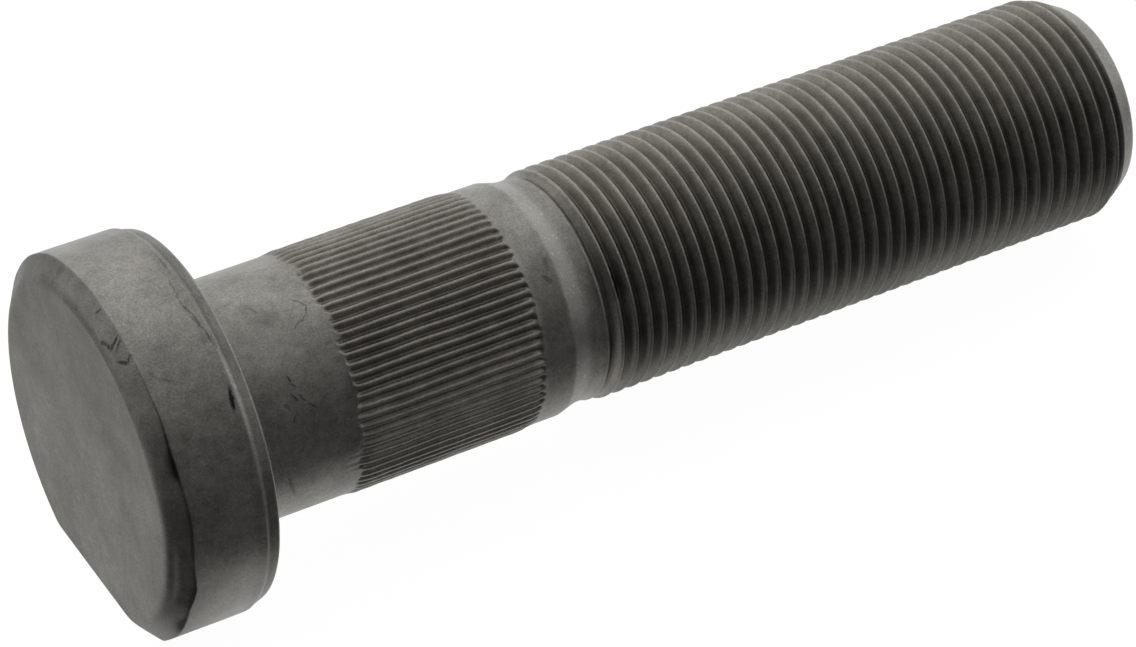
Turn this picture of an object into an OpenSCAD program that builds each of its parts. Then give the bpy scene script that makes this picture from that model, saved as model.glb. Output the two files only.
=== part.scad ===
// Wheel bolt: a press-in wheel stud for a heavy hub, forged, turned and rolled as one piece.
// All lengths are in millimetres. Stations are measured along the bolt's axis from the head's
// outer face. The bolt lies as it comes to rest: on the rear edge of the head's flat and on
// the last full crest of the thread, with its axis sloping down towards the threaded end.

/* [Head] */
// Diameter of the round head
head_d = 35; // [32:0.5:40]
// Thickness of the head from its outer face to its underside
head_h = 9.9; // [7:0.1:14]
// Distance from the bolt's axis to the flat that stops the head from turning
flat_reach = 13.7; // [12.6:0.1:15]
// Length of the crowned front chamfer along the axis
front_chamfer_h = 1.35; // [0.6:0.05:2]
// Width of the crowned front chamfer across the face
front_chamfer_w = 1.35; // [0.6:0.05:2]
// Length of the slight taper and of the bevel behind it, at the head's rear rim
rear_taper_h = 1.6; // [0.8:0.1:2.5]
// Drop in radius over the taper at the rear rim
rear_taper_w = 0.45; // [0.2:0.05:0.8]
// Width of the small bevel on the rear rim
rim_bevel = 0.3; // [0.1:0.05:0.5]
// Radius of the fillet between the head's underside and the neck
underhead_r = 1; // [0.4:0.1:1.4]

/* [Neck and serrations] */
// Diameter of the plain neck behind the head
neck_d = 22; // [21:0.1:22.2]
// Length of the plain neck
neck_len = 10.8; // [6:0.1:30]
// Diameter over the crests of the serrations
serration_d = 22.4; // [22.3:0.1:23.6]
// Diameter at the bottom of the grooves between the serrations
serration_root_d = 21.5; // [20.4:0.1:21.7]
// Number of serrations round the shank
serration_n = 72; // [60:1:80]
// Length of the serrated band, with both of its sloping ends
serration_len = 18.8; // [10:0.1:30]
// Length of the slope at each end of the serrated band
serration_slope = 1.2; // [0.6:0.1:2]
// Distance from each end of the band to the wall where the grooves stop
groove_stop = 0.2; // [0.1:0.05:0.5]
// Width of the land left on the crest of each serration
serration_land = 0.2; // [0.1:0.05:0.4]

/* [Collar and relief] */
// Diameter of the plain collar in front of the serrations
collar_d = 22; // [21.8:0.1:22.2]
// Length of the plain collar
collar_len = 3; // [1.5:0.1:8]
// Length of the short cone from the collar down to the relief
cone_len = 2; // [1:0.1:4]
// Diameter of the relief before the thread
relief_d = 20.9; // [20:0.1:21.4]
// Length of the relief's floor
relief_len = 0.4; // [0.2:0.1:4]
// Length over which the rolled thread grows from the relief to its full diameter
runout_len = 3.3; // [1.5:0.1:6]

/* [Thread] */
// Diameter over the crests of the thread, which is M22 with a fine pitch of 1.5
thread_d = 21.8; // [21.7:0.05:22]
// Length of the thread at its full diameter
thread_len = 52.9; // [25:0.1:90]
// Length of the chamfer at the threaded end
end_chamfer_h = 3; // [1.5:0.1:4]
// Diameter of the flat face at the threaded end
end_face_d = 18.7; // [17:0.1:20]

/* [Hidden] */

// Facets that OpenSCAD draws round a full turn
turn_fn = 144;
// Straight pieces that stand for each small arc of the outline
arc_steps = 6;
// Room that a cutting body stands proud of what it cuts
proud = 2;
// Room by which a body runs on past the circle where it meets a sphere
lap = 0.2;

// Radii
head_r = head_d / 2;
face_r = head_r - front_chamfer_w;
rim_edge_r = head_r - rear_taper_w;
neck_r = neck_d / 2;
crest_r = serration_d / 2;
root_r = serration_root_d / 2;
collar_r = collar_d / 2;
relief_r = relief_d / 2;
thread_r = thread_d / 2;
end_face_r = end_face_d / 2;

// Stations along the axis, from the head's outer face
neck_end = head_h + neck_len;
band_end = neck_end + serration_len;
collar_end = band_end + collar_len;
cone_end = collar_end + cone_len;
relief_end = cone_end + relief_len;
thread_start = relief_end + runout_len;
thread_end = thread_start + thread_len;
bolt_len = thread_end + end_chamfer_h;

// Slope of the resting bolt and the height of its axis at the head's outer face
lie_tilt = atan((flat_reach - thread_r) / (thread_end - head_h));
axis_height = flat_reach * cos(lie_tilt) + head_h * sin(lie_tilt);
// Ends of the resting bolt, measured level from the centre of the head's outer face
low_end = -flat_reach * sin(lie_tilt);
high_end = bolt_len * cos(lie_tilt) + end_face_r * sin(lie_tilt);

// Points of an arc in the outline, from one angle to another
function arc(centre, r, from, to) =
    [for (i = [0 : arc_steps]) centre + r * [
        cos(from + (to - from) * i / arc_steps),
        sin(from + (to - from) * i / arc_steps)
    ]];

// Points of the head's outline where one surface meets the next: radius first, station second
front_edge = [face_r, 0];
flank_front = [head_r, front_chamfer_h];
flank_rear = [head_r, head_h - rear_taper_h];
taper_end = [rim_edge_r, head_h - rim_bevel];
underside_edge = [rim_edge_r - rim_bevel, head_h];

// Points where the slopes of the serrated band leave the neck and the collar and meet the crests
band_rear = [neck_r, neck_end];
crest_rear = [crest_r, neck_end + serration_slope];
crest_front = [crest_r, band_end - serration_slope];
band_front = [collar_r, band_end];
band_middle = (neck_end + band_end) / 2;

// Outline of half the shank behind the middle of the serrations, from the fillet under the head
function rear_shank_outline() = concat(
    [[0, head_h]],
    arc([neck_r + underhead_r, head_h + underhead_r], underhead_r, 270, 180),
    [[neck_r, band_middle], [0, band_middle]]
);

// Outline of half the shank from there to the threaded end
function front_shank_outline() = [
    [0, band_middle],
    [collar_r, band_middle],
    [collar_r, collar_end],
    [relief_r, cone_end],
    [relief_r, relief_end],
    [thread_r, thread_start],
    [thread_r, thread_end],
    [end_face_r, bolt_len],
    [0, bolt_len]
];

// Angle from the middle of a groove to the middle of the next land
half_pitch = 180 / serration_n;
// Angle from the middle of a groove to the edge of its land
land_edge = half_pitch - (serration_land / 2) / crest_r * 180 / PI;
// Step from the groove's root to the edge of its land
flank = [crest_r * cos(land_edge) - root_r, crest_r * sin(land_edge)];
// How far along that line the flanks of two neighbouring grooves meet, outside the crests
meet = root_r * tan(half_pitch) / (flank[1] - tan(half_pitch) * flank[0]);
star_tip_r = norm([root_r, 0] + meet * flank);

// Star whose sides are the flanks of the grooves, so that the crests keep their round lands
function serration_star() =
    [for (i = [0 : 2 * serration_n - 1])
        (i % 2 == 0 ? star_tip_r : root_r) * [cos(i * half_pitch), sin(i * half_pitch)]];

// Ring that trims a body down to a sphere about the axis, from an outer point of the outline to
// an inner one, both of which lie on the sphere
module trim(outer, inner) {
    away = sign(inner.y - outer.y);
    near = outer.y - away * lap;
    far = inner.y + away * proud;
    middle = (outer * outer - inner * inner) / (2 * (outer.y - inner.y));
    difference() {
        translate([0, 0, min(near, far)])
            cylinder(r = outer.x + proud, h = abs(far - near), $fn = turn_fn);
        translate([0, 0, middle])
            sphere(r = norm([outer.x, outer.y - middle]), $fn = turn_fn);
    }
}

// Round head with its flat still to be cut
module head_blank() {
    difference() {
        cylinder(r = head_r, h = head_h, $fn = turn_fn);
        trim(flank_front, front_edge);
        trim(flank_rear, taper_end);
        trim(taper_end, underside_edge);
    }
}

// Band of the shank that stands proud, with its grooves still to be cut
module band_blank() {
    difference() {
        translate([0, 0, neck_end - lap])
            cylinder(r = crest_r, h = serration_len + 2 * lap, $fn = turn_fn);
        trim(crest_rear, band_rear);
        trim(crest_front, band_front);
    }
}

// Plain shank, with no serrations
module shank_core() {
    rotate_extrude($fn = turn_fn)
        polygon(rear_shank_outline());
    rotate_extrude($fn = turn_fn)
        polygon(front_shank_outline());
}

// Slab that takes the segment off the head, beyond the flat
module flat_cut() {
    translate([flat_reach, -head_r - proud, -proud])
        cube([head_r + proud, 2 * (head_r + proud), head_h + 2 * proud]);
}

// Sleeve whose inside is the star, so that it takes out every groove at once
module groove_cut() {
    cut_start = neck_end + groove_stop;
    cut_len = serration_len - 2 * groove_stop;
    translate([0, 0, cut_start])
        difference() {
            cylinder(r = star_tip_r + proud, h = cut_len, $fn = turn_fn);
            translate([0, 0, -proud])
                linear_extrude(height = cut_len + 2 * proud)
                    polygon(serration_star());
        }
}

// The bolt about its own axis, with the head's outer face at the origin and the flat on +X
module bolt_on_axis() {
    difference() {
        union() {
            head_blank();
            shank_core();
            band_blank();
        }
        flat_cut();
        groove_cut();
    }
}

// The bolt at rest, with the origin under the middle of its box
module wheel_bolt() {
    color("dimgray")
        translate([-(low_end + high_end) / 2, 0, axis_height])
            rotate([0, 90 + lie_tilt, 0])
                bolt_on_axis();
}

wheel_bolt();
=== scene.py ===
"""Wheel bolt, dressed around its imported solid.

The bolt is one forged, turned and rolled piece of phosphated steel. Its skin is one closed mesh
that grows ring by ring along the bolt's own axis, from the head's outer face to the threaded
end, and is then laid in the resting place of the solid. Sizes are in millimetres and become
metres in the last step.
"""

from __future__ import annotations

import logging
import math
from dataclasses import dataclass
from enum import Enum
from typing import ClassVar

import bpy
import numpy as np
from mathutils import Euler, Matrix, Vector

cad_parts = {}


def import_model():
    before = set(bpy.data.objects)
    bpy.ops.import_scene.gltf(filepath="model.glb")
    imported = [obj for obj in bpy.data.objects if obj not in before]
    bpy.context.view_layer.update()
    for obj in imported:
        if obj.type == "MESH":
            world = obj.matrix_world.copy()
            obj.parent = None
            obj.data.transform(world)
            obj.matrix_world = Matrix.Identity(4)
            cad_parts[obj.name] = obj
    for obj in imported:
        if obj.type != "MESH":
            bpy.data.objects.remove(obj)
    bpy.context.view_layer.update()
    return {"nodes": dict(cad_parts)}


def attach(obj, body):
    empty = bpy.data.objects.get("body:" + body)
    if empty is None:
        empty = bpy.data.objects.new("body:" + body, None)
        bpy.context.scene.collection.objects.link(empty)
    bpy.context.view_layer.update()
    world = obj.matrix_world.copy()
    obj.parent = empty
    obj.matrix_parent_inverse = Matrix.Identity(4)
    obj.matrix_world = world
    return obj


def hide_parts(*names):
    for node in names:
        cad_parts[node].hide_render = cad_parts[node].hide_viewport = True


LOG = logging.getLogger("wheel_bolt")
MM = 0.001
TURN = 2.0 * math.pi

# Attribute that holds each point's x, y and station in the bolt's own axes, in millimetres
OWN_PLACE = "own_place"

# Columns round the head, the neck and the serrations, and round the thread
FINE = 432
COARSE = 72
# Share of a turn and angle of each column round the thread
TURN_SHARE = np.arange(COARSE) / COARSE
TURN_ANGLE = np.arange(COARSE) * TURN / COARSE

Pair = tuple[float, float]
Triple = tuple[float, float, float]
Colour = tuple[float, float, float, float]
Array = np.ndarray
Node = bpy.types.Node
Socket = bpy.types.NodeSocket


class Mark(Enum):
    """What the skin carries at each point besides its place, for the finish to read."""

    # Soot and painted shade in the grooves
    DEEP = 0
    WORN = 1
    # Dark stains, and painted shade of the thread's lower side
    STAIN = 2
    ROLLED = 3


def smooth(low: float, high: float, value: float | Array) -> float | Array:
    """Rise from 0 to 1, with no corner, as a value goes from one limit to the other."""
    t = np.clip((value - low) / (high - low), 0.0, 1.0)
    return t * t * (3.0 - 2.0 * t)


def signed_degrees(angle: Array) -> Array:
    """Angles in radians as degrees from -180 to 180."""
    return (np.degrees(angle) + 180.0) % 360.0 - 180.0


def ring_points(angle: Array, radius: float | Array, station: float | Array) -> Array:
    """Rows of x, y and station for points round the axis, whose angles are in radians."""
    stations = np.zeros(len(angle)) + station
    return np.column_stack([radius * np.cos(angle), radius * np.sin(angle), stations])


@dataclass(frozen=True)
class Stretch:
    """Stretch of stations or of angles that fades in and out."""

    rise: Pair
    fall: Pair

    def share(self, value: float | Array) -> float | Array:
        """Share from 0 outside the stretch to 1 well inside it."""
        return smooth(*self.rise, value) * smooth(*self.fall, value)


@dataclass(frozen=True)
class Line:
    """Soft line round the bolt, placed from one of its edges."""

    at: float
    width: float
    level: float = 1.0

    def share(self, station: float) -> float:
        """Strength of the line at a station that is counted from the same edge."""
        return self.level * math.exp(-(((station - self.at) / self.width) ** 2))


@dataclass(frozen=True)
class Waves:
    """Smooth seeded waves that stand for forging scale, rolling marks and handling."""

    seed: int
    length: float
    count: int = 28
    # How much longer than the shortest wave the longest can be, as a share
    spread: float = 1.6

    def at(self, points: Array) -> Array:
        """Height of the waves at some points.

        Args:
            points: one row of x, y and station for each point.

        Returns:
            Heights that mostly lie between -1 and 1.
        """
        rng = np.random.default_rng(self.seed)
        way = rng.normal(size=(self.count, 3))
        way /= np.linalg.norm(way, axis=1)[:, None]
        length = self.length * (1.0 + self.spread * rng.random(self.count))
        phase = rng.random(self.count) * TURN
        total = np.sin(points @ (way * (TURN / length)[:, None]).T + phase).sum(axis=1)
        return total / math.sqrt(2.0 * self.count)


class Skin:
    """Closed mesh that grows ring by ring from the head's face to the threaded end."""

    def __init__(self) -> None:
        """Starts with no points."""
        self.points: list[Array] = []
        self.marks: list[Array] = []
        self.quads: list[Array] = []
        self.triangles: list[Array] = []
        self.total = 0

    def add(self, points: Array, marks: Array) -> Array:
        """Takes in points.

        Args:
            points: one row of x, y and station for each point.
            marks: one row of Mark values for each point.

        Returns:
            The number of each new point.
        """
        numbers = np.arange(self.total, self.total + len(points))
        self.points.append(points)
        self.marks.append(marks)
        self.total += len(points)
        return numbers

    def join(self, near: Array, far: Array) -> None:
        """Spans two closed rings that follow each other and have as many points."""
        near_next, far_next = np.roll(near, -1), np.roll(far, -1)
        self.quads.append(np.stack([near, near_next, far_next, far], axis=1))

    def strip(self, near: Array, far: Array) -> None:
        """Spans two open rows that follow each other and have as many points."""
        self.quads.append(np.stack([near[:-1], near[1:], far[1:], far[:-1]], axis=1))

    def extend(self, last: Array, points: Array, marks: Array) -> Array:
        """Adds a closed ring and spans it to the last one.

        Args:
            last: numbers of the last ring.
            points: one row of x, y and station for each new point.
            marks: one row of Mark values for each new point.

        Returns:
            The number of each new point.
        """
        numbers = self.add(points, marks)
        self.join(last, numbers)
        return numbers

    def triangle(self, *numbers: int) -> None:
        """Spans three points."""
        self.triangles.append(np.array([numbers]))

    def thin(self, near: Array, far: Array) -> None:
        """Spans a ring and a ring with fewer points.

        Args:
            near: numbers of the ring with more points.
            far: numbers of the ring with fewer points, a whole share of them.
        """
        share = len(near) // len(far)
        far_next = np.roll(far, -1)
        half = share // 2
        for step in range(share):
            start = near[step::share]
            end = np.roll(near, -1)[step::share]
            tip = far if step < half else far_next
            self.triangles.append(np.stack([start, end, tip], axis=1))
            if step == half - 1:
                self.triangles.append(np.stack([end, far_next, far], axis=1))

    def close(self, ring: Array, middle: int, first: bool) -> None:
        """Closes the skin with a fan from a ring to a middle point.

        Args:
            ring: numbers of the ring.
            middle: number of the point in the middle.
            first: whether this end is the one where the skin starts.
        """
        after = np.roll(ring, -1)
        centre = np.full(len(ring), middle)
        order = [centre, after, ring] if first else [centre, ring, after]
        self.triangles.append(np.stack(order, axis=1))

    def mesh(self, name: str, place: Matrix) -> bpy.types.Mesh:
        """Makes the mesh in its resting place.

        Args:
            name: name of the mesh.
            place: matrix from the bolt's own axes to the row frame, in millimetres.

        Returns:
            The mesh, in metres, with one attribute for each Mark.
        """
        points = np.concatenate(self.points)
        turned = points @ np.array(place.to_3x3()).T + np.array(place.translation)
        faces = [tuple(f) for block in self.quads for f in block.tolist()]
        faces += [tuple(f) for block in self.triangles for f in block.tolist()]
        mesh = bpy.data.meshes.new(name)
        mesh.from_pydata((turned * MM).tolist(), [], faces)
        marks = np.concatenate(self.marks)
        for mark in Mark:
            values = mesh.attributes.new(mark.name.lower(), "FLOAT", "POINT")
            values.data.foreach_set("value", marks[:, mark.value].astype(np.float32))
        own = mesh.attributes.new(OWN_PLACE, "FLOAT_VECTOR", "POINT")
        own.data.foreach_set("vector", points.astype(np.float32).ravel())
        mesh.validate()
        mesh.shade_smooth()
        return mesh


def marks_of(count: int, **levels: float | Array) -> Array:
    """Marks of some points.

    Args:
        count: number of points.
        **levels: level of a mark, by the mark's name, for all points or for each.

    Returns:
        One row of Mark values for each point, with 0 for a mark that isn't named.
    """
    marks = np.zeros((count, len(Mark)))
    for name, level in levels.items():
        marks[:, Mark[name.upper()].value] = level
    return marks


@dataclass
class Head:
    """Round forged head with a rounded chamfer in front and one flat."""

    face_r: float = 14.9
    flank_r: float = 17.5
    chamfer_end: float = 1.35
    taper_start: float = 8.3
    taper_end: float = 9.6
    rim_r: float = 17.05
    rim_bevel: float = 0.3
    underside: float = 9.9
    flat_reach: float = 13.7
    flat_round: float = 0.3
    corner_r: float = 1.1
    fillet_r: float = 1.0
    neck_r: float = 11.0
    flat_columns: int = 72
    corner_columns: int = 10
    fillet_rings: int = 6

    # Depth of the forged face's hollow, and heights of its large and small waves
    hollow: float = 0.02
    face_waves: Pair = (0.02, 0.008)
    # Heights of the side's waves, how far they are sunk, and the stations where they grow
    side_waves: Pair = (0.03, 0.012)
    side_sink: float = 0.03
    waves_grow: Pair = (0.1, 1.0)
    # Distance from the flat over which the side's waves fade
    flat_fade: float = 1.2
    # Wander of the chamfer's rear edge, and how far from the edge the rings follow it
    edge_wander: float = 0.06
    edge_reach: Line = Line(at=0.0, width=0.55)

    # Angles in degrees: the cleaner side opposite the flat, sides that are stained or rubbed, and
    # the lower side, whose bare wear is held back as painted shade
    top_from: Pair = (135.0, 155.0)
    stained: Stretch = Stretch(rise=(-140.0, -128.54084), fall=(-48.0, -59.45916))
    rubbed: Stretch = Stretch(rise=(-100.0, -88.0), fall=(-68.0, -78.0))
    shaded_low_side: Stretch = Stretch(rise=(-112.0, -92.0), fall=(-30.0, -50.0))
    wear_shaded_off: float = 0.75
    # Bare lines, placed from the face, the taper's start and the underside
    rub_line: Line = Line(at=0.5, width=0.13)
    taper_wear: Line = Line(at=0.2, width=0.2, level=0.35)
    rim_wear: Line = Line(at=-0.1, width=0.1, level=0.8)
    # Dark lines, two placed from the chamfer's end and two from the taper's start
    edge_stain: Line = Line(at=0.02, width=0.13, level=0.85)
    edge_blots: Line = Line(at=-0.2, width=0.2, level=0.6)
    before_taper: Line = Line(at=-0.35, width=0.3, level=0.18)
    on_taper: Line = Line(at=0.3, width=0.32, level=0.35)
    # Dark stretches of stations on the chamfer and on the taper
    chamfer_dark: Stretch = Stretch(rise=(0.04, 0.14), fall=(1.35, 1.25))
    chamfer_level: float = 0.36
    taper_dark: Stretch = Stretch(rise=(8.62, 8.86), fall=(9.72, 9.56))
    taper_level: float = 0.46
    # Middle and spread of the stain's strength, and the heights at which waves become blots
    stain_mid: float = 0.75
    stain_spread: float = 0.25
    blot_span: Pair = (0.1, 0.9)

    large: ClassVar[Waves] = Waves(seed=11, length=9.0)
    small: ClassVar[Waves] = Waves(seed=12, length=2.2)
    edge: ClassVar[Waves] = Waves(seed=13, length=3.4)
    patchy: ClassVar[Waves] = Waves(seed=14, length=2.5)
    blots: ClassVar[Waves] = Waves(seed=15, length=2.8)

    # Shares of the way from the middle of the face to its edge, one for each ring
    face_shares: ClassVar[tuple[float, ...]] = (
        0.1, 0.22, 0.34, 0.46, 0.58, 0.7, 0.8, 0.88, 0.94, 0.98, 0.992)
    # Shares of the way across the underside, from the rim to the fillet
    underside_shares: ClassVar[tuple[float, ...]] = (0.0, 0.04, 0.3, 0.65, 0.93, 1.0)
    # Stations of the rings on the flank
    flank_stations: ClassVar[tuple[float, ...]] = (
        1.4, 1.46, 1.54, 1.75, 2.3, 3.3, 4.4, 5.5, 6.6, 7.3, 7.8, 8.12)
    # Angle in degrees, and how far the chamfer's edge runs back there
    edge_course: ClassVar[tuple[Pair, ...]] = (
        (-180.0, 0.0), (-150.0, 0.0), (-137.0, 0.13), (-127.0, 0.0), (-121.0, 0.15),
        (-113.0, 0.3), (-106.0, 0.3), (-98.0, 0.24), (-89.0, 0.12), (-84.5, 0.28),
        (-80.5, 0.42), (-76.0, 0.26), (-72.0, 0.02), (180.0, 0.0))
    # Share of the front chamfer's length, and share of its rise there
    chamfer_course: ClassVar[tuple[Pair, ...]] = (
        (0.011, 0.0), (0.022, 0.058), (0.044, 0.123), (0.078, 0.192), (0.122, 0.258),
        (0.174, 0.315), (0.237, 0.377), (0.37, 0.485), (0.556, 0.635), (0.741, 0.788),
        (0.874, 0.896), (0.948, 0.958), (0.985, 0.987))
    # Share of the rear taper's length, and share of its fall there
    taper_course: ClassVar[tuple[Pair, ...]] = (
        (0.0, 0.0), (0.04, 0.02), (0.1, 0.1), (0.18, 0.24), (0.26, 0.37), (0.33, 0.46),
        (0.4, 0.52), (0.5, 0.59), (0.65, 0.7), (0.8, 0.83), (0.92, 0.94), (0.98, 1.0))
    # Share of the rim's bevel along the axis, and share of its fall there
    bevel_course: ClassVar[tuple[Pair, ...]] = (
        (0.3, 0.08), (0.65, 0.3), (0.9, 0.6), (1.0, 0.95))

    def flat_at(self, station: float) -> float:
        """How far the flat lies from the axis, with its two long edges rounded off.

        Args:
            station: station along the axis.

        Returns:
            The distance from the axis.
        """
        from_edge = min(station, self.underside - station)
        inset = max(self.flat_round - from_edge, 0.0)
        return self.flat_reach - self.flat_round + math.sqrt(self.flat_round**2 - inset**2)

    def outline(self, radius: float, reach: float) -> Array:
        """Ring with one flat and two rounded corners.

        Args:
            radius: radius of the round part.
            reach: distance of the flat from the axis.

        Returns:
            One row of x and y for each column.
        """
        corner_x = reach - self.corner_r
        corner_y = math.sqrt((radius - self.corner_r) ** 2 - corner_x**2)
        meet = math.atan2(corner_y, corner_x)
        half_flat = self.flat_columns // 2
        flat = np.linspace(0.0, corner_y, half_flat, endpoint=False)
        bend = np.linspace(0.0, meet, self.corner_columns, endpoint=False)
        rest = FINE // 2 - half_flat - self.corner_columns
        turn = np.linspace(meet, math.pi, rest + 1)
        x = np.concatenate([
            np.full(half_flat, reach),
            corner_x + self.corner_r * np.cos(bend),
            radius * np.cos(turn),
        ])
        y = np.concatenate([
            flat,
            corner_y + self.corner_r * np.sin(bend),
            radius * np.sin(turn),
        ])
        return np.stack([
            np.concatenate([x, x[-2:0:-1]]),
            np.concatenate([y, -y[-2:0:-1]]),
        ], axis=1)

    def profile(self) -> list[Pair]:
        """Outline of the head's side.

        Returns:
            Station and radius of each ring, from the face's edge to the underside.
        """
        rise = self.flank_r - self.face_r
        fall = self.flank_r - self.rim_r
        length = self.taper_end - self.taper_start
        points = [
            (self.chamfer_end * q, self.face_r + rise * d) for q, d in self.chamfer_course]
        points += [(station, self.flank_r) for station in self.flank_stations]
        points += [
            (self.taper_start + length * q, self.flank_r - fall * d) for q, d in self.taper_course]
        points += [
            (self.taper_end + self.rim_bevel * q, self.rim_r - self.rim_bevel * d)
            for q, d in self.bevel_course]
        return points

    def grow(self, skin: Skin, columns: Array) -> Array:
        """Adds the face, the side, the underside and the fillet.

        Args:
            skin: skin to grow.
            columns: angle of each column of the shank, in radians.

        Returns:
            Numbers of the last ring, at the end of the fillet.
        """
        last = self.face(skin)
        for station, radius in self.profile():
            ring = self.side_ring(station, radius)
            last = skin.extend(last, ring, self.paint(station, ring))
        return self.seat(skin, last, columns)

    def face(self, skin: Skin) -> Array:
        """Adds the slightly hollow face, from its middle outwards.

        Args:
            skin: skin to grow.

        Returns:
            Numbers of the last ring, just inside the face's edge.
        """
        middle = skin.add(np.zeros((1, 3)), marks_of(1))
        outline = self.outline(self.face_r, self.flat_at(0.0))
        large, small = self.face_waves
        rings = []
        for share in self.face_shares:
            ring = np.column_stack([outline * share, np.zeros(FINE)])
            waves = large * self.large.at(ring) + small * self.small.at(ring)
            ring[:, 2] += self.hollow + waves
            rings.append(skin.add(ring, marks_of(FINE)))
        skin.close(rings[0], int(middle[0]), first=True)
        for near, far in zip(rings, rings[1:]):
            skin.join(near, far)
        return rings[-1]

    def side_ring(self, station: float, radius: float) -> Array:
        """Ring of the side, with the unevenness of the forging.

        Args:
            station: station along the axis.
            radius: radius of the round part.

        Returns:
            One row of x, y and station for each column.
        """
        outline = self.outline(radius, self.flat_at(station))
        ring = np.column_stack([outline, np.full(FINE, station)])
        angle = np.degrees(np.arctan2(ring[:, 1], ring[:, 0]))
        off_flat = smooth(0.0, self.flat_fade, self.flat_reach - ring[:, 0])
        large, small = self.side_waves
        swell = large * self.large.at(ring) + small * self.small.at(ring) - self.side_sink
        swell *= off_flat * smooth(*self.waves_grow, station)
        course = np.interp(angle, *zip(*self.edge_course))
        course += self.edge_wander * self.edge.at(ring)
        outward = ring[:, :2] / np.linalg.norm(ring[:, :2], axis=1)[:, None]
        ring[:, :2] += outward * swell[:, None]
        ring[:, 2] += self.edge_reach.share(station - self.chamfer_end) * off_flat * course
        return ring

    def seat(self, skin: Skin, last: Array, columns: Array) -> Array:
        """Adds the underside and the fillet round the neck.

        Args:
            skin: skin to grow.
            last: numbers of the last ring of the side.
            columns: angle of each column of the shank, in radians.

        Returns:
            Numbers of the last ring, at the end of the fillet.
        """
        rim = self.outline(self.rim_r - self.rim_bevel, self.flat_at(self.underside))
        edge = ring_points(columns, self.neck_r + self.fillet_r, self.underside)[:, :2]
        for share in self.underside_shares:
            across = rim * (1 - share) + edge * share
            ring = np.column_stack([across, np.full(FINE, self.underside)])
            last = skin.extend(last, ring, marks_of(FINE))
        for step in range(1, self.fillet_rings + 1):
            turn = math.pi / 2 * step / self.fillet_rings
            radius = self.neck_r + self.fillet_r * (1 - math.sin(turn))
            station = self.underside + self.fillet_r * (1 - math.cos(turn))
            last = skin.extend(last, ring_points(columns, radius, station), marks_of(FINE))
        return last

    def paint(self, station: float, ring: Array) -> Array:
        """Marks of one ring of the side.

        Args:
            station: station along the axis.
            ring: one row of x, y and station for each point.

        Returns:
            One row of Mark values for each point.
        """
        angle = np.degrees(np.arctan2(ring[:, 1], ring[:, 0]))
        top = smooth(*self.top_from, np.abs(angle))
        rub = self.rub_line.share(station) * self.rubbed.share(angle)
        # Painted shade: less bare wear on the lower side
        kept = 1 - self.wear_shaded_off * self.shaded_low_side.share(angle)
        worn = self.wear(station) * (1 - top) * kept + rub
        return marks_of(FINE, worn=worn, stain=self.stain(station, ring, top) * (1 - rub))

    def wear(self, station: float) -> float:
        """Share of bare metal at a station of the head's side."""
        return max(self.taper_wear.share(station - self.taper_start),
                   self.rim_wear.share(station - self.underside))

    def stain(self, station: float, ring: Array, top: Array) -> Array:
        """Share of dark scale at a station of the head's side.

        Args:
            station: station along the axis.
            ring: one row of x, y and station for each point.
            top: share of each point that lies on the side opposite the flat.

        Returns:
            A share from 0 to 1 for each point.
        """
        low_side = self.stained.share(np.degrees(np.arctan2(ring[:, 1], ring[:, 0])))
        uneven = np.clip(self.stain_mid + self.stain_spread * self.patchy.at(ring), 0.0, 1.0)
        blots = smooth(*self.blot_span, self.blots.at(ring))
        past_edge = station - self.chamfer_end
        past_taper = station - self.taper_start
        chamfer = self.edge_stain.share(past_edge) + self.edge_blots.share(past_edge) * blots
        chamfer += self.chamfer_level * self.chamfer_dark.share(station)
        taper = self.taper_level * self.taper_dark.share(station)
        taper += self.before_taper.share(past_taper) + self.on_taper.share(past_taper) * top
        return uneven * (low_side * chamfer + taper)


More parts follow.
